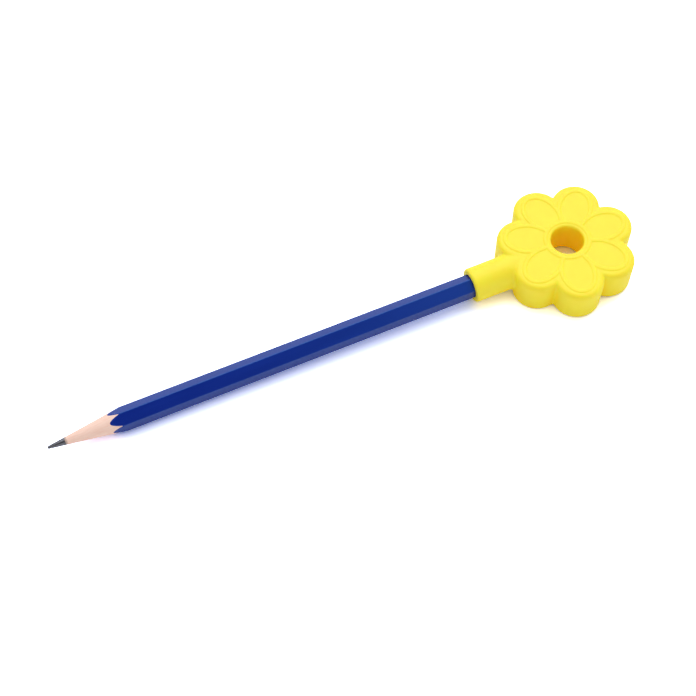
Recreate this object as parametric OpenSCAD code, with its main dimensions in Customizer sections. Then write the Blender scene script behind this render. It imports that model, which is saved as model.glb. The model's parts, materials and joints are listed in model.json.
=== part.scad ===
// Chewable flower topper pushed onto the end of a sharpened hexagonal pencil.
// Millimetres. The origin is the centre of the finger hole at mid thickness,
// the pencil lies along -X with its point furthest away, and +Z is up.

/* [Flower] */
// Number of petals round the finger hole
petal_count = 7; // [6:1:8]
// Radius of each round petal lobe
petal_r = 8.1; // [7:0.1:9]
// Distance from the finger hole's centre to the centre of a petal lobe
petal_orbit = 15.4; // [14.5:0.1:17]
// Radius of the disc that fills the valleys between the petals
web_r = 18.7; // [18.6:0.1:20]
// Thickness of the flower
flower_t = 12.6; // [12.2:0.1:15]
// Rounding of the petals' top and bottom edges
rim_r = 1.9; // [1.5:0.1:2.1]
// Rounding of the edges in the valleys, which is a little softer
web_rim_r = 2.4; // [2.2:0.1:3.1]

/* [Finger hole] */
// Diameter of the hole through the middle
hole_d = 11; // [9:0.1:11.2]
// Rounding of the hole's two lips
lip_r = 0.9; // [0.4:0.1:1]

/* [Raised outlines] */
// Radius of the raised ring round the finger hole
ring_r = 7.3; // [7.2:0.1:8]
// Distance from the hole's centre to the middle of a petal's oval outline
oval_orbit = 13.3; // [12.8:0.1:13.4]
// Half the length of the oval outline, measured along the petal
oval_half_len = 7.2; // [6.6:0.1:7.5]
// Width of the raised line
line_w = 1.1; // [0.6:0.1:1.2]
// Height of the raised line above the petals
line_h = 0.3; // [0.2:0.05:0.6]

/* [Sleeve] */
// Distance from the hole's centre to the sleeve's mouth
sleeve_reach = 35.5; // [32:0.1:42]
// Outer diameter of the sleeve
sleeve_d = 11.8; // [10.8:0.1:12]
// Rounding of the mouth's outer edge
mouth_r = 0.7; // [0.3:0.1:1]
// Radius of the fillet where the sleeve runs into the petals
root_r = 2; // [1:0.1:3]
// Width of the flared root's oval section between the petals
root_w = 18; // [16:0.5:20]
// How far the crown of the flared root lies below the flower's face
root_drop = 0.35; // [0.2:0.05:0.5]
// Depth of the round socket that grips the pencil
socket_depth = 26.5; // [20:0.1:27.3]
// Radial clearance between the socket and the pencil's corners
socket_clear = 0.06; // [0.03:0.01:0.1]

/* [Pencil] */
// Length of the sharpened pencil, end to point
pencil_len = 173; // [90:1:190]
// Distance across the pencil's flats, over the lacquer
pencil_af = 7.1; // [6.8:0.05:7.3]
// Distance across the pencil's rounded corners, over the lacquer
pencil_ac = 8.1; // [7.9:0.05:8.15]
// Thickness of the lacquer coat
lacquer_t = 0.12; // [0.08:0.01:0.2]
// Diameter of the graphite lead
lead_d = 2.5; // [1.8:0.1:3]
// Glue gap between the lead and its grooves
glue_t = 0.03; // [0.02:0.01:0.06]
// Half angle of the sharpened cone
point_angle = 8.2; // [7.6:0.2:14]
// Diameter of the blunt end of the point
point_d = 0.9; // [0.2:0.1:1.2]
// Gap between the pencil's end and the floor of the socket
seat_gap = 0.2; // [0.1:0.1:1]

/* [Hidden] */
$fn = 96;

// Colours of the finished pieces
topper_yellow = "#f6e63a";
lacquer_blue = "#22398c";
slat_wood = "#e6c4b0";
lead_grey = "#606168";

// Half the angle between two petals; the sleeve leaves midway between a pair
petal_half_angle = 180 / petal_count;
petal_angles = [for (k = [0 : petal_count - 1]) 180 + (2 * k + 1) * petal_half_angle];

// Half width that makes an oval just touch the straight lines beside it, and the distance where it does
oval_half_w = tan(petal_half_angle) * sqrt(pow(oval_orbit, 2) - pow(oval_half_len, 2));
oval_touch = (oval_orbit - pow(oval_half_len, 2) / oval_orbit) / cos(petal_half_angle);

// The sleeve starts inside the web, and its root flares to an oval that ends in the two petals beside it
sleeve_r = sleeve_d / 2;
sleeve_start = petal_orbit;
petal_side_y = petal_orbit * sin(petal_half_angle);
root_x = petal_orbit * cos(petal_half_angle) + sqrt(pow(petal_r, 2) - pow(petal_side_y - sleeve_r, 2));
root_half_h = flower_t / 2 - root_drop;
root_half_w = root_w / 2;
socket_r = pencil_ac / 2 + socket_clear;
socket_floor = sleeve_reach - socket_depth;

// Where the pencil ends in the socket, and its sharpened cone, measured along the pencil from that end
pencil_end = socket_floor + seat_gap;
cone_len = (pencil_ac - point_d) / 2 / tan(point_angle);
core_af = pencil_af - 2 * lacquer_t;
core_ac = pencil_ac - 2 * lacquer_t;
groove_d = lead_d + 2 * glue_t;

// The joint between the slats runs through two opposite corners of the hexagon
slat_turn = -30;

// How far a cutter runs past the face that it opens
past = 1;

// Turns a shape that stands along +Z so that it lies along the pencil, away from the flower
module along_pencil(distance) {
  translate([-distance, 0, 0])
    rotate([0, -90, 0])
      children();
}

// Upper half of a disc's half section, with a rounded edge
module puck_section(radius, rim) {
  square([radius - rim, flower_t / 2]);
  square([radius, flower_t / 2 - rim]);
  translate([radius - rim, flower_t / 2 - rim])
    intersection() {
      circle(rim);
      square(rim);
    }
}

// Disc with rounded top and bottom edges, as thick as the flower
module puck(radius, rim) {
  rotate_extrude() {
    puck_section(radius, rim);
    mirror([0, 1])
      puck_section(radius, rim);
  }
}

module flower() {
  puck(web_r, web_rim_r);
  for (angle = petal_angles)
    rotate(angle)
      translate([petal_orbit, 0, 0])
        puck(petal_r, rim_r);
}

// Half section of what is taken out of one lip of the finger hole
module lip_section() {
  translate([hole_d / 2, flower_t / 2 - lip_r])
    difference() {
      square([lip_r, lip_r + past]);
      translate([lip_r, 0])
        circle(lip_r);
    }
}

module finger_hole() {
  rotate_extrude() {
    translate([0, -flower_t / 2 - past])
      square([hole_d / 2, flower_t + 2 * past]);
    lip_section();
    mirror([0, 1])
      lip_section();
  }
}

module oval(grow) {
  translate([oval_orbit, 0])
    scale([oval_half_len + grow, oval_half_w + grow])
      circle(1);
}

// Plan of the raised lines: a ring, straight lines between the petals and an oval end on each petal
module outline_plan() {
  difference() {
    circle(ring_r + line_w / 2);
    circle(ring_r - line_w / 2);
  }
  for (angle = petal_angles)
    rotate(angle) {
      rotate(petal_half_angle)
        translate([ring_r, -line_w / 2])
          square([oval_touch - ring_r, line_w]);
      difference() {
        oval(line_w / 2);
        oval(-line_w / 2);
        circle(oval_touch);
      }
    }
}

module raised_outlines() {
  translate([0, 0, flower_t / 2 - rim_r])
    linear_extrude(rim_r + line_h)
      outline_plan();
}

// Round tube wall of the sleeve, with its rounded mouth
module sleeve() {
  rotate_extrude() {
    translate([0, sleeve_start])
      square([sleeve_r, sleeve_reach - mouth_r - sleeve_start]);
    translate([0, sleeve_start])
      square([sleeve_r - mouth_r, sleeve_reach - sleeve_start]);
    translate([sleeve_r - mouth_r, sleeve_reach - mouth_r])
      intersection() {
        circle(mouth_r);
        square(mouth_r);
      }
  }
}

// Root of the sleeve, flared to an oval between the two petals
module sleeve_root() {
  intersection() {
    rotate_extrude()
      difference() {
        translate([0, sleeve_start])
          square([sleeve_r + root_r, root_x + root_r - sleeve_start]);
        translate([sleeve_r + root_r, root_x + root_r])
          circle(root_r);
      }
    linear_extrude(sleeve_reach)
      scale([root_half_h, root_half_w])
        circle(1);
  }
}

// Soft moulding: flower, raised outlines and sleeve in one piece, with a finger hole and a pencil socket
module chew_topper() {
  color(topper_yellow)
    difference() {
      union() {
        flower();
        raised_outlines();
        along_pencil(0) {
          sleeve();
          sleeve_root();
        }
      }
      finger_hole();
      along_pencil(socket_floor)
        cylinder(h = socket_depth + past, r = socket_r);
    }
}

// Hexagonal bar with rounded corners, one corner up
module hex_bar(across_flats, across_corners, length) {
  intersection() {
    linear_extrude(length)
      circle(d = across_flats / cos(30), $fn = 6);
    cylinder(h = length, d = across_corners);
  }
}

// Everything that the sharpener leaves standing: a full bar, a cone and a blunt point
module sharpened_envelope() {
  rotate_extrude()
    polygon([
      [0, -past],
      [pencil_ac / 2 + past, -past],
      [pencil_ac / 2 + past, pencil_len - cone_len - past / tan(point_angle)],
      [point_d / 2, pencil_len],
      [0, pencil_len]
    ]);
}

// One half of the cedar casing, with its half round groove for the lead
module slat(turn) {
  color(slat_wood)
    along_pencil(pencil_end)
      difference() {
        intersection() {
          hex_bar(core_af, core_ac, pencil_len);
          sharpened_envelope();
          rotate(turn)
            translate([0, -pencil_ac, 0])
              cube([pencil_ac, 2 * pencil_ac, pencil_len]);
        }
        translate([0, 0, -past])
          cylinder(h = pencil_len + 2 * past, d = groove_d);
      }
}

module upper_slat() {
  slat(slat_turn);
}

module lower_slat() {
  slat(slat_turn + 180);
}

// Lead from the pencil's end to its point
module graphite_lead() {
  color(lead_grey)
    along_pencil(pencil_end)
      intersection() {
        cylinder(h = pencil_len, d = lead_d);
        sharpened_envelope();
      }
}

// Thin glossy skin over both slats; the sharpener cuts it to a scallop on each flat
module lacquer_coat() {
  color(lacquer_blue)
    along_pencil(pencil_end)
      intersection() {
        difference() {
          hex_bar(pencil_af, pencil_ac, pencil_len);
          translate([0, 0, -past])
            hex_bar(core_af, core_ac, pencil_len + 2 * past);
        }
        sharpened_envelope();
      }
}

chew_topper();
upper_slat();
lower_slat();
graphite_lead();
lacquer_coat();
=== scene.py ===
import json
import math

import bmesh
import bpy
from mathutils import Matrix, Quaternion, Vector
from mathutils.kdtree import KDTree


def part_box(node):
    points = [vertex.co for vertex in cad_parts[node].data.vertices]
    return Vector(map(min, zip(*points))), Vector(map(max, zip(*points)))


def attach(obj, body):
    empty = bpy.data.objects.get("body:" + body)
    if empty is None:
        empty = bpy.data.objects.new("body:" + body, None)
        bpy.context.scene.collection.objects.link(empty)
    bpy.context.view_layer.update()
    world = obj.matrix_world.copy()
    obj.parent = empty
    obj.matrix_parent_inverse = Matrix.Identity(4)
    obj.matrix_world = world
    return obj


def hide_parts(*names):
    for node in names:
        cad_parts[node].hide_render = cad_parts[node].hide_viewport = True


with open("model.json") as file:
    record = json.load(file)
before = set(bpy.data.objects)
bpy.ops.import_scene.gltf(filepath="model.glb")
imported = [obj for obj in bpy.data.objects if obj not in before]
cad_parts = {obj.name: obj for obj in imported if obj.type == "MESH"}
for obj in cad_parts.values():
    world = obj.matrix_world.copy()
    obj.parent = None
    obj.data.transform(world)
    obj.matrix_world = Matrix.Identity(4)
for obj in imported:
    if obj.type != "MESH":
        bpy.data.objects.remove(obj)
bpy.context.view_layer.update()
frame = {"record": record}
scene = bpy.context.scene

# Graphite lead: a rod of fired graphite and clay, glued into the grooves of the two slats.
# It runs from the pencil's hidden end to the point, where the sharpener's blade has shaved
# it to a cone and left it burnished, with a little of the very end worn off.
MM = 0.001
lead_low, lead_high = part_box("graphite_lead")
lead_r = (lead_high.y - lead_low.y) / 2
end_x = lead_high.x
point_x = lead_low.x
point_r = 0.45 * MM
point_wear = 0.15 * MM
point_slope = math.tan(math.radians(8.2))
lead_crease = math.radians(20)
round_steps = 96
weld = 0.001 * MM


def cone_x(radius):
    """Where the sharpener's cone has this radius."""
    return point_x + (radius - point_r) / point_slope


def turn(profile):
    """A solid turned about the pencil's axis from a profile of (x, radius) points, end to end."""
    bm = bmesh.new()
    verts = [bm.verts.new((x, 0, radius)) for x, radius in profile]
    edges = [bm.edges.new(pair) for pair in zip(verts, verts[1:])]
    bmesh.ops.spin(bm, geom=verts + edges, cent=(0, 0, 0), axis=(1, 0, 0),
                   angle=math.tau, steps=round_steps, use_merge=True)
    bmesh.ops.remove_doubles(bm, verts=bm.verts, dist=weld)
    bmesh.ops.recalc_face_normals(bm, faces=bm.faces)
    return bm


def new_object(name, bm):
    """An object at the origin with this mesh, which is then freed."""
    mesh = bpy.data.meshes.new(name)
    bm.to_mesh(mesh)
    bm.free()
    made = bpy.data.objects.new(name, mesh)
    scene.collection.objects.link(made)
    return made


def srgb(code):
    """Linear colour of an sRGB hex value."""
    shares = [int(code[i:i + 2], 16) / 255 for i in (1, 3, 5)]
    return (*(s / 12.92 if s <= 0.04045 else ((s + 0.055) / 1.055) ** 2.4 for s in shares), 1)


def new_material(name):
    """A material with an empty node tree, and that tree."""
    material = bpy.data.materials.new(name)
    material.use_nodes = True
    material.node_tree.nodes.clear()
    return material, material.node_tree


def add_node(tree, kind, inputs, **settings):
    """A node with its settings, and its inputs set to values or linked to other nodes' outputs."""
    node = tree.nodes.new(kind)
    for name, value in settings.items():
        setattr(node, name, value)
    for name, value in inputs.items():
        if isinstance(value, bpy.types.NodeSocket):
            tree.links.new(value, node.inputs[name])
        else:
            node.inputs[name].default_value = value
    return node


# Burnished graphite: grey with a dull metal sheen, smears, and rings where the blade went round.
# The rings are drawn coarser than they are, so that they show.
smear_size = 0.8 * MM
score_depth = 0.02 * MM
ring_pitch = 1.3823 * MM
# Blender's wave bands lie this far apart at a scale of 1.
wave_pitch = math.tau / 20
graphite, tree = new_material("graphite_burnished")
place = add_node(tree, "ShaderNodeTexCoord", {})
rings = add_node(tree, "ShaderNodeTexWave",
                 {"Vector": place.outputs["Object"], "Scale": wave_pitch / ring_pitch,
                  "Distortion": 1.5, "Detail": 2.0, "Detail Scale": 2.0},
                 wave_type="BANDS", bands_direction="X")
smear = add_node(tree, "ShaderNodeTexNoise",
                 {"Vector": place.outputs["Object"], "Scale": 1 / smear_size, "Detail": 3.0})
grey = add_node(tree, "ShaderNodeMix",
                {"Factor": smear.outputs["Fac"], "A": srgb("#55565c"), "B": srgb("#74757c")},
                data_type="RGBA")
sheen = add_node(tree, "ShaderNodeMapRange",
                 {"Value": smear.outputs["Fac"], "To Min": 0.14, "To Max": 0.26})
score = add_node(tree, "ShaderNodeBump",
                 {"Height": rings.outputs["Fac"], "Strength": 0.25, "Distance": score_depth})
shader = add_node(tree, "ShaderNodeBsdfPrincipled",
                  {"Base Color": grey.outputs["Result"], "Metallic": 0.9,
                   "Roughness": sheen.outputs["Result"], "Normal": score.outputs["Normal"]})
add_node(tree, "ShaderNodeOutputMaterial", {"Surface": shader.outputs["BSDF"]})

lead_mesh = turn([(end_x, 0), (end_x, lead_r), (cone_x(lead_r), lead_r),
                  (point_x + 2 * point_wear, point_r + 2 * point_wear * point_slope),
                  (point_x + 0.5 * point_wear, point_r),
                  (point_x, point_r - point_wear), (point_x, 0)])
lead = new_object("lead", lead_mesh)
lead.data.shade_smooth()
lead.data.set_sharp_from_angle(angle=lead_crease)
lead.data.materials.append(graphite)
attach(lead, "pencil")
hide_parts("graphite_lead")

# Casing: two slats of cedar, each with a half round groove, glued together over the lead and
# planed to a hexagon with eased corners. The joint runs through two opposite corners. The
# sharpener has cut the end back to a long bare cone, which shows the grain.
pencil_flats = 7.1 * MM
pencil_corners = 8.1 * MM
flat_count = 6
corner_steps = 16
pencil_crease = math.radians(6)
lacquer_t = 0.12 * MM
glue_t = 0.03 * MM
groove_r = lead_r + glue_t
joint_turn = math.radians(30)
past = 1 * MM
lie_along_x = Matrix(((0, 0, 1, 0), (1, 0, 0, 0), (0, 1, 0, 0), (0, 0, 0, 1)))


def hex_bar(skin, overrun):
    """A hexagonal bar along the pencil, one corner up, thinner all round by the skin."""
    flats = pencil_flats - 2 * skin
    corners = pencil_corners - 2 * skin
    half_flat = math.pi / flat_count
    sharp_corners = flats / math.cos(half_flat)
    corner_r = (sharp_corners - corners) / 2 / (1 / math.cos(half_flat) - 1)
    bm = bmesh.new()
    bmesh.ops.create_circle(bm, cap_ends=True, segments=flat_count, radius=sharp_corners / 2,
                            matrix=Matrix.Translation((end_x + overrun, 0, 0)) @ lie_along_x)
    pushed = bmesh.ops.extrude_face_region(bm, geom=list(bm.faces))["geom"]
    bmesh.ops.translate(bm, vec=(point_x - end_x - 2 * overrun, 0, 0),
                        verts=[v for v in pushed if isinstance(v, bmesh.types.BMVert)])
    arrises = [e for e in bm.edges if abs(e.verts[0].co.x - e.verts[1].co.x) > past]
    bmesh.ops.bevel(bm, geom=arrises, offset=corner_r * math.tan(half_flat),
                    segments=corner_steps, profile=0.5, affect="EDGES", material=-1)
    bmesh.ops.recalc_face_normals(bm, faces=bm.faces)
    return bm


def settle(piece):
    """Makes a piece's modifiers part of its mesh."""
    shaped = piece.evaluated_get(bpy.context.evaluated_depsgraph_get())
    mesh = bpy.data.meshes.new_from_object(shaped)
    piece.modifiers.clear()
    piece.data = mesh


def carve(piece, operation, tool_mesh):
    """Cuts a piece with a solid, which is then taken away."""
    tool = new_object("tool", tool_mesh)
    cut = piece.modifiers.new("cut", "BOOLEAN")
    cut.operation = operation
    cut.solver = "EXACT"
    cut.object = tool
    settle(piece)
    bpy.data.objects.remove(tool)


def sharpened():
    """All that the sharpener leaves: a cone to the point and a wide bar behind it."""
    wide = pencil_corners
    return turn([(end_x + past, 0), (end_x + past, wide), (cone_x(wide), wide),
                 (point_x, point_r), (point_x, 0)])


def smooth_faces(piece):
    """Shades round faces smooth, with the flats kept flat and the cut edges sharp."""
    piece.data.shade_smooth()
    piece.data.set_sharp_from_angle(angle=pencil_crease)
    flats = piece.modifiers.new("flats", "WEIGHTED_NORMAL")
    flats.keep_sharp = True
    flats.weight = 100


# Sharpened cedar: pinkish, matt, with fine grain along the pencil and a little graphite rubbed
# on beside the lead. Each slat is its own piece of wood, so its grain is shifted.
grain_len = 9 * MM
grain_w = 0.5 * MM
grain_depth = 0.03 * MM
grain_shift = 3
rub_size = 0.35 * MM
rub_wander = 0.9 * MM
rub_full_x = cone_x(lead_r) + 0.7 * MM
rub_gone_x = cone_x(lead_r) + 1.5 * MM

for name, side in (("upper_slat", 1), ("lower_slat", -1)):
    cedar, tree = new_material("cedar_sharpened_" + name)
    place = add_node(tree, "ShaderNodeTexCoord", {})
    along = add_node(tree, "ShaderNodeMapping",
                     {"Vector": place.outputs["Object"], "Location": (0, 0, grain_shift * side),
                      "Scale": (1 / grain_len, 1 / grain_w, 1 / grain_w)})
    streak = add_node(tree, "ShaderNodeTexNoise",
                      {"Vector": along.outputs["Vector"], "Scale": 1.0, "Detail": 5.0,
                       "Roughness": 0.6})
    tone = add_node(tree, "ShaderNodeMix",
                    {"Factor": streak.outputs["Fac"], "A": srgb("#efb9a3"), "B": srgb("#ffe8db")},
                    data_type="RGBA")
    rub = add_node(tree, "ShaderNodeTexNoise",
                   {"Vector": place.outputs["Object"], "Scale": 1 / rub_size, "Detail": 2.0})
    axes = add_node(tree, "ShaderNodeSeparateXYZ", {"Vector": place.outputs["Object"]})
    wander = add_node(tree, "ShaderNodeMath",
                      {0: rub.outputs["Fac"], 1: rub_wander, 2: axes.outputs["X"]},
                      operation="MULTIPLY_ADD")
    near_lead = add_node(tree, "ShaderNodeMapRange",
                         {"Value": wander.outputs["Value"], "From Min": rub_full_x,
                          "From Max": rub_gone_x, "To Min": 0.75, "To Max": 0.0})
    colour = add_node(tree, "ShaderNodeMix",
                      {"Factor": near_lead.outputs["Result"], "A": tone.outputs["Result"],
                       "B": srgb("#5b5654")},
                      data_type="RGBA")
    grain = add_node(tree, "ShaderNodeBump",
                     {"Height": streak.outputs["Fac"], "Strength": 0.3, "Distance": grain_depth})
    shader = add_node(tree, "ShaderNodeBsdfPrincipled",
                      {"Base Color": colour.outputs["Result"], "Roughness": 0.6,
                       "Normal": grain.outputs["Normal"]})
    add_node(tree, "ShaderNodeOutputMaterial", {"Surface": shader.outputs["BSDF"]})

    half = hex_bar(lacquer_t, 0)
    across_joint = Vector((0, -math.sin(joint_turn) * side, math.cos(joint_turn) * side))
    bmesh.ops.bisect_plane(half, geom=list(half.verts) + list(half.edges) + list(half.faces),
                           plane_co=(0, 0, 0), plane_no=across_joint, clear_inner=True)
    bmesh.ops.holes_fill(half, edges=[e for e in half.edges if e.is_boundary])
    bmesh.ops.recalc_face_normals(half, faces=half.faces)
    slat = new_object(name + "_wood", half)
    carve(slat, "INTERSECT", sharpened())
    carve(slat, "DIFFERENCE", turn([(end_x + past, 0), (end_x + past, groove_r),
                                    (point_x - past, groove_r), (point_x - past, 0)]))
    slat.data.materials.clear()
    slat.data.materials.append(cedar)
    smooth_faces(slat)
    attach(slat, "pencil")
    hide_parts(name)

# Lacquer: several dipped coats of blue over the glued casing, a thin gloss skin that rounds the
# corners. The sharpener has cut it back to a scallop on each flat.
flow_len = 20 * MM
flow_w = 2.5 * MM
ripple_depth = 0.05 * MM

# Gloss blue lacquer: smooth, with the faint waviness of a dipped coat, and reflections that its
# pigment tints blue.
lacquer, tree = new_material("lacquer_gloss_blue")
place = add_node(tree, "ShaderNodeTexCoord", {})
flow = add_node(tree, "ShaderNodeMapping",
                {"Vector": place.outputs["Object"],
                 "Scale": (1 / flow_len, 1 / flow_w, 1 / flow_w)})
wave = add_node(tree, "ShaderNodeTexNoise",
                {"Vector": flow.outputs["Vector"], "Scale": 1.0, "Detail": 2.0})
blue = add_node(tree, "ShaderNodeMix",
                {"Factor": wave.outputs["Fac"], "A": srgb("#102580"), "B": srgb("#142c8e")},
                data_type="RGBA")
polish = add_node(tree, "ShaderNodeMapRange",
                  {"Value": wave.outputs["Fac"], "To Min": 0.12, "To Max": 0.22})
ripple = add_node(tree, "ShaderNodeBump",
                  {"Height": wave.outputs["Fac"], "Strength": 0.1, "Distance": ripple_depth})
shader = add_node(tree, "ShaderNodeBsdfPrincipled",
                  {"Base Color": blue.outputs["Result"], "Roughness": polish.outputs["Result"],
                   "IOR": 1.5, "Specular IOR Level": 0.8, "Specular Tint": srgb("#68b8ff"),
                   "Normal": ripple.outputs["Normal"]})
add_node(tree, "ShaderNodeOutputMaterial", {"Surface": shader.outputs["BSDF"]})

coat = new_object("lacquer", hex_bar(0, 0))
carve(coat, "INTERSECT", sharpened())
carve(coat, "DIFFERENCE", hex_bar(lacquer_t, past))
coat.data.materials.clear()
coat.data.materials.append(lacquer)
smooth_faces(coat)
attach(coat, "pencil")
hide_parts("lacquer_coat")

# Topper: one soft moulding in thermoplastic elastomer, a flower with a finger hole and a round
# sleeve. The mould leaves a satin skin, soft edges and raised outlines round each petal, and the
# sleeve's socket stretches over the pencil and grips its corners.
topper_low, topper_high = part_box("chew_topper")
face_drop = 0.6 * MM
face_z = topper_high.z - face_drop
back_z = topper_low.z
petal_count = 7
petal_r = 8.1 * MM
petal_orbit = 15.4 * MM
petal_rim = 1.6 * MM
petal_foot = 0.8 * MM
half_angle = math.pi / petal_count
petal_angles = [math.pi + (2 * k + 1) * half_angle for k in range(petal_count)]
web_r = 18 * MM
web_rim = 1.6 * MM
web_foot = 1.2 * MM
finger_hole = next(m for m in frame["record"]["mounts"] if m["name"] == "finger_hole")
hole_r = finger_hole["dims"]["r_mm"] * MM
lip_r = 0.5 * MM
sleeve_r = 5.9 * MM
mouth_x = topper_low.x
mouth_r = 0.7 * MM
root_r = 0.8 * MM
root_x = -21.9 * MM
root_crown = 6 * MM
crown_run = 7 * MM
socket_r = 4.11 * MM
socket_depth = 26.5 * MM
ring_r = 7.3 * MM
oval_orbit = 13.3 * MM
oval_half_len = 7.45 * MM
line_h = 0.24 * MM
line_crest = 0.35 * MM
line_foot = 0.85 * MM
line_step = 0.05 * MM
rim_steps = 8
flare_steps = 12
same_edge = 0.01 * MM
face_band = 0.05 * MM
voxel = 0.3 * MM
mould_crease = math.radians(60)

moulding = bmesh.new()


def add_shell(bm):
    """Joins a closed shell to the moulding."""
    bmesh.ops.recalc_face_normals(bm, faces=bm.faces)
    mesh = bpy.data.meshes.new("shell")
    bm.to_mesh(mesh)
    bm.free()
    moulding.from_mesh(mesh)
    bpy.data.meshes.remove(mesh)


def round_edges(bm, radius, z, rounding):
    """Rounds the circle of edges that has this radius and height."""
    loop = [e for e in bm.edges
            if all(math.hypot(v.co.xy.length - radius, v.co.z - z) < same_edge for v in e.verts)]
    bmesh.ops.bevel(bm, geom=loop, offset=rounding, segments=rim_steps, profile=0.5,
                    affect="EDGES", material=-1)


def quarter(steps):
    """Angles from 0 to a quarter turn, in equal steps."""
    return [math.pi / 2 * i / steps for i in range(steps + 1)]


def ease(share):
    """A share held between 0 and 1, with a gentle start and end."""
    held = min(max(share, 0), 1)
    return held * held * (3 - 2 * held)


# The disc that joins the petals is a ring about the finger hole, with rounded lips and rims.
web = bmesh.new()
corners = [web.verts.new((r, 0, z)) for r, z in
           ((hole_r, back_z), (web_r, back_z), (web_r, face_z), (hole_r, face_z))]
sides = [web.edges.new((corners[i - 1], corners[i])) for i in range(len(corners))]
bmesh.ops.spin(web, geom=corners + sides, cent=(0, 0, 0), axis=(0, 0, 1),
               angle=math.tau, steps=round_steps, use_merge=True)
for radius, z, rounding in ((hole_r, face_z, lip_r), (hole_r, back_z, lip_r),
                            (web_r, face_z, web_rim), (web_r, back_z, web_foot)):
    round_edges(web, radius, z, rounding)
add_shell(web)

# Each petal is a round lobe with a soft top edge and a crisper foot.
for angle in petal_angles:
    lobe = bmesh.new()
    bmesh.ops.create_cone(lobe, cap_ends=True, segments=round_steps,
                          radius1=petal_r, radius2=petal_r, depth=face_z - back_z,
                          matrix=Matrix.Translation((0, 0, (face_z + back_z) / 2)))
    round_edges(lobe, petal_r, face_z, petal_rim)
    round_edges(lobe, petal_r, back_z, petal_foot)
    bmesh.ops.translate(lobe, verts=lobe.verts,
                        vec=(petal_orbit * math.cos(angle), petal_orbit * math.sin(angle), 0))
    add_shell(lobe)

# The sleeve flares a little at its root, where its crown rises to meet the flower's face.
mouth = [(mouth_x + mouth_r * (1 - math.cos(t)), sleeve_r - mouth_r * (1 - math.sin(t)))
         for t in quarter(rim_steps)]
add_shell(turn([(-petal_orbit, 0), (-petal_orbit, sleeve_r), *reversed(mouth), (mouth_x, 0)]))
flare = [(root_x - root_r * math.sin(t), sleeve_r + root_r * (1 - math.cos(math.pi / 2 - t)))
         for t in quarter(flare_steps)]
flare_end = flare[-1][0]
root = turn([(-petal_orbit, 0), (-petal_orbit, sleeve_r + root_r), *flare, (flare_end, 0)])
for v in root.verts:
    spread = math.hypot(v.co.y, v.co.z)
    if spread > 0:
        crown = sleeve_r + (root_crown - sleeve_r) * ease((v.co.x - flare_end) / crown_run)
        v.co.z *= crown / spread
add_shell(root)

# One skin is drawn over all the shells and softened, and then the socket is cut.
topper = new_object("topper", moulding)
skin = topper.modifiers.new("skin", "REMESH")
skin.mode = "VOXEL"
skin.voxel_size = voxel
soften = topper.modifiers.new("soften", "SMOOTH")
soften.factor = 0.5
soften.iterations = 3
settle(topper)
carve(topper, "DIFFERENCE", turn([(mouth_x - past, 0), (mouth_x - past, socket_r),
                                  (mouth_x + socket_depth, socket_r), (mouth_x + socket_depth, 0)]))

# A fine raised line goes round the finger hole, out from that ring between the petals, and round
# each petal. The face is made finer beside it and lifted to a rounded ridge.
oval_half_w = math.tan(half_angle) * math.sqrt(oval_orbit ** 2 - oval_half_len ** 2)
oval_touch = (oval_orbit - oval_half_len ** 2 / oval_orbit) / math.cos(half_angle)
oval_end = math.acos((oval_touch * math.cos(half_angle) - oval_orbit) / oval_half_len)


def spaced(length):
    """Shares from 0 to 1 that lie a line step apart over this length."""
    count = math.ceil(length / line_step)
    return [i / count for i in range(count + 1)]


ring_line = [Vector((ring_r * math.cos(math.tau * s), ring_r * math.sin(math.tau * s), 0))
             for s in spaced(math.tau * ring_r)]
petal_line = [Vector((oval_orbit + oval_half_len * math.cos(a), oval_half_w * math.sin(a), 0))
              for a in (oval_end * (2 * s - 1) for s in spaced(2 * oval_end * oval_half_len))]
between = Vector((math.cos(half_angle), math.sin(half_angle), 0))
petal_line += [between * (ring_r + (oval_touch - ring_r) * s) for s in spaced(oval_touch - ring_r)]
petal_turns = [Matrix.Rotation(angle, 3, "Z") for angle in petal_angles]
line_points = ring_line + [turned @ spot for turned in petal_turns for spot in petal_line]
line_tree = KDTree(len(line_points))
for i, spot in enumerate(line_points):
    line_tree.insert(spot, i)
line_tree.balance()


def from_line(spot):
    """How far a spot on the flower's face lies from the middle of the nearest raised line."""
    return line_tree.find((spot.x, spot.y, 0))[2]


near_face = face_z - face_band
moulded = bmesh.new()
moulded.from_mesh(topper.data)
for f in moulded.faces:
    f.tag = (all(v.co.z > near_face for v in f.verts)
             and from_line(f.calc_center_median()) < line_foot + voxel)
beside = [e for e in moulded.edges if any(f.tag for f in e.link_faces)]
bmesh.ops.subdivide_edges(moulded, edges=beside, cuts=1, use_grid_fill=True)
for v in moulded.verts:
    if v.co.z > near_face:
        fall = ease((from_line(v.co) - line_crest) / (line_foot - line_crest))
        v.co.z += line_h * (1 - fall)
moulded.to_mesh(topper.data)
moulded.free()
topper.data.shade_smooth()
topper.data.set_sharp_from_angle(angle=mould_crease)

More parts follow.
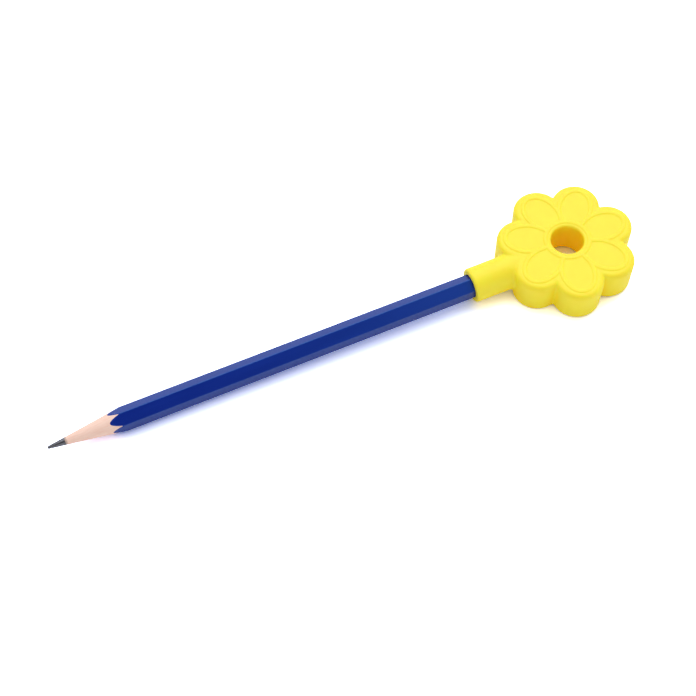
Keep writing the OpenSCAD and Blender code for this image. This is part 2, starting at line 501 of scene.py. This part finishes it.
# Satin elastomer: yellow, a little clouded, with light bleeding through it, and painted shade that
# turns its recesses a deeper amber. The pores of its satin skin are drawn coarser than they are, so
# that they show.
cloud_size = 6 * MM
pore_size = 0.5 * MM
pore_depth = 0.02 * MM
amber_shade_reach = 14 * MM
bleed = 1.5 * MM
elastomer, tree = new_material("elastomer_satin_yellow")
place = add_node(tree, "ShaderNodeTexCoord", {})
cloud = add_node(tree, "ShaderNodeTexNoise",
                 {"Vector": place.outputs["Object"], "Scale": 1 / cloud_size, "Detail": 2.0})
yellow = add_node(tree, "ShaderNodeMix",
                  {"Factor": cloud.outputs["Fac"], "A": srgb("#ffe62c"), "B": srgb("#ffef36")},
                  data_type="RGBA")
# Painted shade: where the moulding is hemmed in, in the finger hole, valleys and creases, the
# colour turns a deeper amber.
amber_shade_ao = add_node(tree, "ShaderNodeAmbientOcclusion", {"Distance": amber_shade_reach}, samples=8)
depth = add_node(tree, "ShaderNodeMapRange",
                 {"Value": amber_shade_ao.outputs["AO"], "From Min": 0.33, "From Max": 0.66})
colour = add_node(tree, "ShaderNodeMix",
                  {"Factor": depth.outputs["Result"], "A": srgb("#ffe200"),
                   "B": yellow.outputs["Result"]},
                  data_type="RGBA")
pores = add_node(tree, "ShaderNodeTexNoise",
                 {"Vector": place.outputs["Object"], "Scale": 1 / pore_size, "Detail": 2.0})
matt = add_node(tree, "ShaderNodeBump",
                {"Height": pores.outputs["Fac"], "Strength": 0.15, "Distance": pore_depth})
shader = add_node(tree, "ShaderNodeBsdfPrincipled",
                  {"Base Color": colour.outputs["Result"], "Roughness": 0.5, "IOR": 1.45,
                   "Subsurface Weight": 0.3, "Subsurface Radius": (1.0, 0.4, 0.08),
                   "Subsurface Scale": bleed, "Normal": matt.outputs["Normal"]})
add_node(tree, "ShaderNodeOutputMaterial", {"Surface": shader.outputs["BSDF"]})
topper.data.materials.clear()
topper.data.materials.append(elastomer)
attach(topper, "topper")
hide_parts("chew_topper")

# White table: a wide sheet of card. The flower's near edge and the pencil, where its cone begins,
# lie on it. It looks whiter than it lights, as in a bright photograph, and keeps a pale shadow,
# which is darker in the corners under the object and in the finger hole.
table_half = 4.0
flower_rest_x = -20 * MM
flower_rest = Vector((flower_rest_x, 0, topper_low.z))
pencil_rest = Vector((cone_x(pencil_corners / 2), 0, -pencil_corners / 2))
table_lean = math.atan2(pencil_rest.z - flower_rest.z, flower_rest.x - pencil_rest.x)
table_place = Matrix.Translation(flower_rest) @ Matrix.Rotation(table_lean, 4, "Y")
table_mesh = bmesh.new()
bmesh.ops.create_grid(table_mesh, size=table_half, matrix=table_place)
table = new_object("table", table_mesh)

# White card: plain matt white, with a faint blue cast, and painted shade that makes it darker and
# bluer close to the object.
painted_shade_reach = 12 * MM
painted_shade_gain = 1.6
open_gain = 2.6
painted_corner_shade = [painted_shade_gain * c for c in srgb("#b4c8ff")]
open_white = [open_gain * c for c in srgb("#e6ecff")]
card, tree = new_material("card_white")
ray = add_node(tree, "ShaderNodeLightPath", {})
mirrored = add_node(tree, "ShaderNodeMath",
                    {0: ray.outputs["Is Glossy Ray"], 1: ray.outputs["Is Transmission Ray"]},
                    operation="MAXIMUM")
dim = add_node(tree, "ShaderNodeMapRange",
               {"Value": mirrored.outputs["Value"], "To Min": 0.9, "To Max": 1.1})
# Painted shade: where the card is hemmed in by the object, the colour seen is made darker and
# bluer.
corner = add_node(tree, "ShaderNodeAmbientOcclusion", {"Distance": painted_shade_reach}, samples=8)
bright = add_node(tree, "ShaderNodeMapRange",
                  {"Value": corner.outputs["AO"], "From Min": 0.15, "From Max": 0.55})
seen_card_and_shade = add_node(tree, "ShaderNodeMix",
                {"Factor": bright.outputs["Result"], "A": painted_corner_shade, "B": open_white},
                data_type="RGBA")
white = add_node(tree, "ShaderNodeMix",
                 {"Factor": ray.outputs["Is Camera Ray"], "A": dim.outputs["Result"],
                  "B": seen_card_and_shade.outputs["Result"]},
                 data_type="RGBA")
shader = add_node(tree, "ShaderNodeBsdfDiffuse", {"Color": white.outputs["Result"]})
add_node(tree, "ShaderNodeOutputMaterial", {"Surface": shader.outputs["BSDF"]})
table.data.materials.append(card)

# Light: a white tent, brighter at the front, with a dark opening above the front, and a soft lamp
# above and behind. The camera and reflections see the tent as plain white with that opening.
lamp_travel = Vector((-0.25, -0.5, -0.83))
front_wall = 1.7
back_wall = 0.5
roof = 0.55
opening_way = Vector((-0.15, -0.48, 0.865)).normalized()
opening_level = 0.05
opening_rim = math.radians(28)
opening_core = math.radians(8)
key = bpy.data.lights.new("key", "SUN")
key.energy = 1.8
key.angle = math.radians(60)
key_light = bpy.data.objects.new("key", key)
key_light.rotation_euler = lamp_travel.to_track_quat("-Z", "Y").to_euler()
scene.collection.objects.link(key_light)
world = bpy.data.worlds.new("studio")
scene.world = world
world.use_nodes = True
world.node_tree.nodes.clear()
tree = world.node_tree
place = add_node(tree, "ShaderNodeTexCoord", {})
axes = add_node(tree, "ShaderNodeSeparateXYZ", {"Vector": place.outputs["Generated"]})
walls = add_node(tree, "ShaderNodeMapRange",
                 {"Value": axes.outputs["Y"], "From Min": -0.5, "From Max": 0.9,
                  "To Min": front_wall, "To Max": back_wall},
                 interpolation_type="SMOOTHSTEP")
height = add_node(tree, "ShaderNodeMapRange", {"Value": axes.outputs["Z"], "From Max": 0.5},
                  interpolation_type="SMOOTHSTEP")
tent = add_node(tree, "ShaderNodeMix",
                {"Factor": height.outputs["Result"], "A": walls.outputs["Result"], "B": roof})
facing = add_node(tree, "ShaderNodeVectorMath",
                  {0: place.outputs["Generated"], 1: opening_way},
                  operation="DOT_PRODUCT")
opening = add_node(tree, "ShaderNodeMapRange",
                   {"Value": facing.outputs["Value"], "From Min": math.cos(opening_rim),
                    "From Max": math.cos(opening_core), "To Min": 1.0, "To Max": opening_level},
                   interpolation_type="SMOOTHSTEP")
ray = add_node(tree, "ShaderNodeLightPath", {})
mirrored = add_node(tree, "ShaderNodeMath",
                    {0: ray.outputs["Is Glossy Ray"], 1: ray.outputs["Is Transmission Ray"]},
                    operation="MAXIMUM")
seen = add_node(tree, "ShaderNodeMath",
                {0: ray.outputs["Is Camera Ray"], 1: mirrored.outputs["Value"]},
                operation="MAXIMUM")
shown = add_node(tree, "ShaderNodeMix",
                 {"Factor": seen.outputs["Value"], "A": tent.outputs["Result"], "B": 1.0})
level = add_node(tree, "ShaderNodeMath",
                 {0: shown.outputs["Result"], 1: opening.outputs["Result"]},
                 operation="MULTIPLY")
sky = add_node(tree, "ShaderNodeBackground",
               {"Color": srgb("#ffffff"), "Strength": level.outputs["Value"]})
add_node(tree, "ShaderNodeOutputWorld", {"Surface": sky.outputs["Background"]})
scene.view_settings.view_transform = "Standard"

# The deep finger hole takes more bounces of light than usual to fill.
scene.cycles.diffuse_bounces = 12

# Camera: where the photograph was taken from, looking down from the front with the pencil's point
# to the left and the finger hole off to the upper right. The image is square.
image_side = 696
focal_px = 1134.0
hole_px = (565.25, 249.7)
distance = 392.87 * MM
azimuth, elevation, roll = (math.radians(a) for a in (-37.95, 54.76, 11.62))
back = Vector((math.sin(azimuth) * math.cos(elevation), -math.cos(azimuth) * math.cos(elevation),
               math.sin(elevation)))
ahead = Vector((0, 0, -1))
to_hole = Vector((hole_px[0] - image_side / 2, image_side / 2 - hole_px[1], -focal_px))
lens = bpy.data.cameras.new("camera")
lens.sensor_width = 36
lens.lens = lens.sensor_width * focal_px / image_side
lens.clip_start = 0.01
camera = bpy.data.objects.new("camera", lens)
camera.rotation_mode = "QUATERNION"
camera.location = back * distance
camera.rotation_quaternion = ((-back).to_track_quat("-Z", "Y") @ Quaternion((0, 0, 1), roll)
                              @ ahead.rotation_difference(to_hole).inverted())
scene.collection.objects.link(camera)
scene.camera = camera
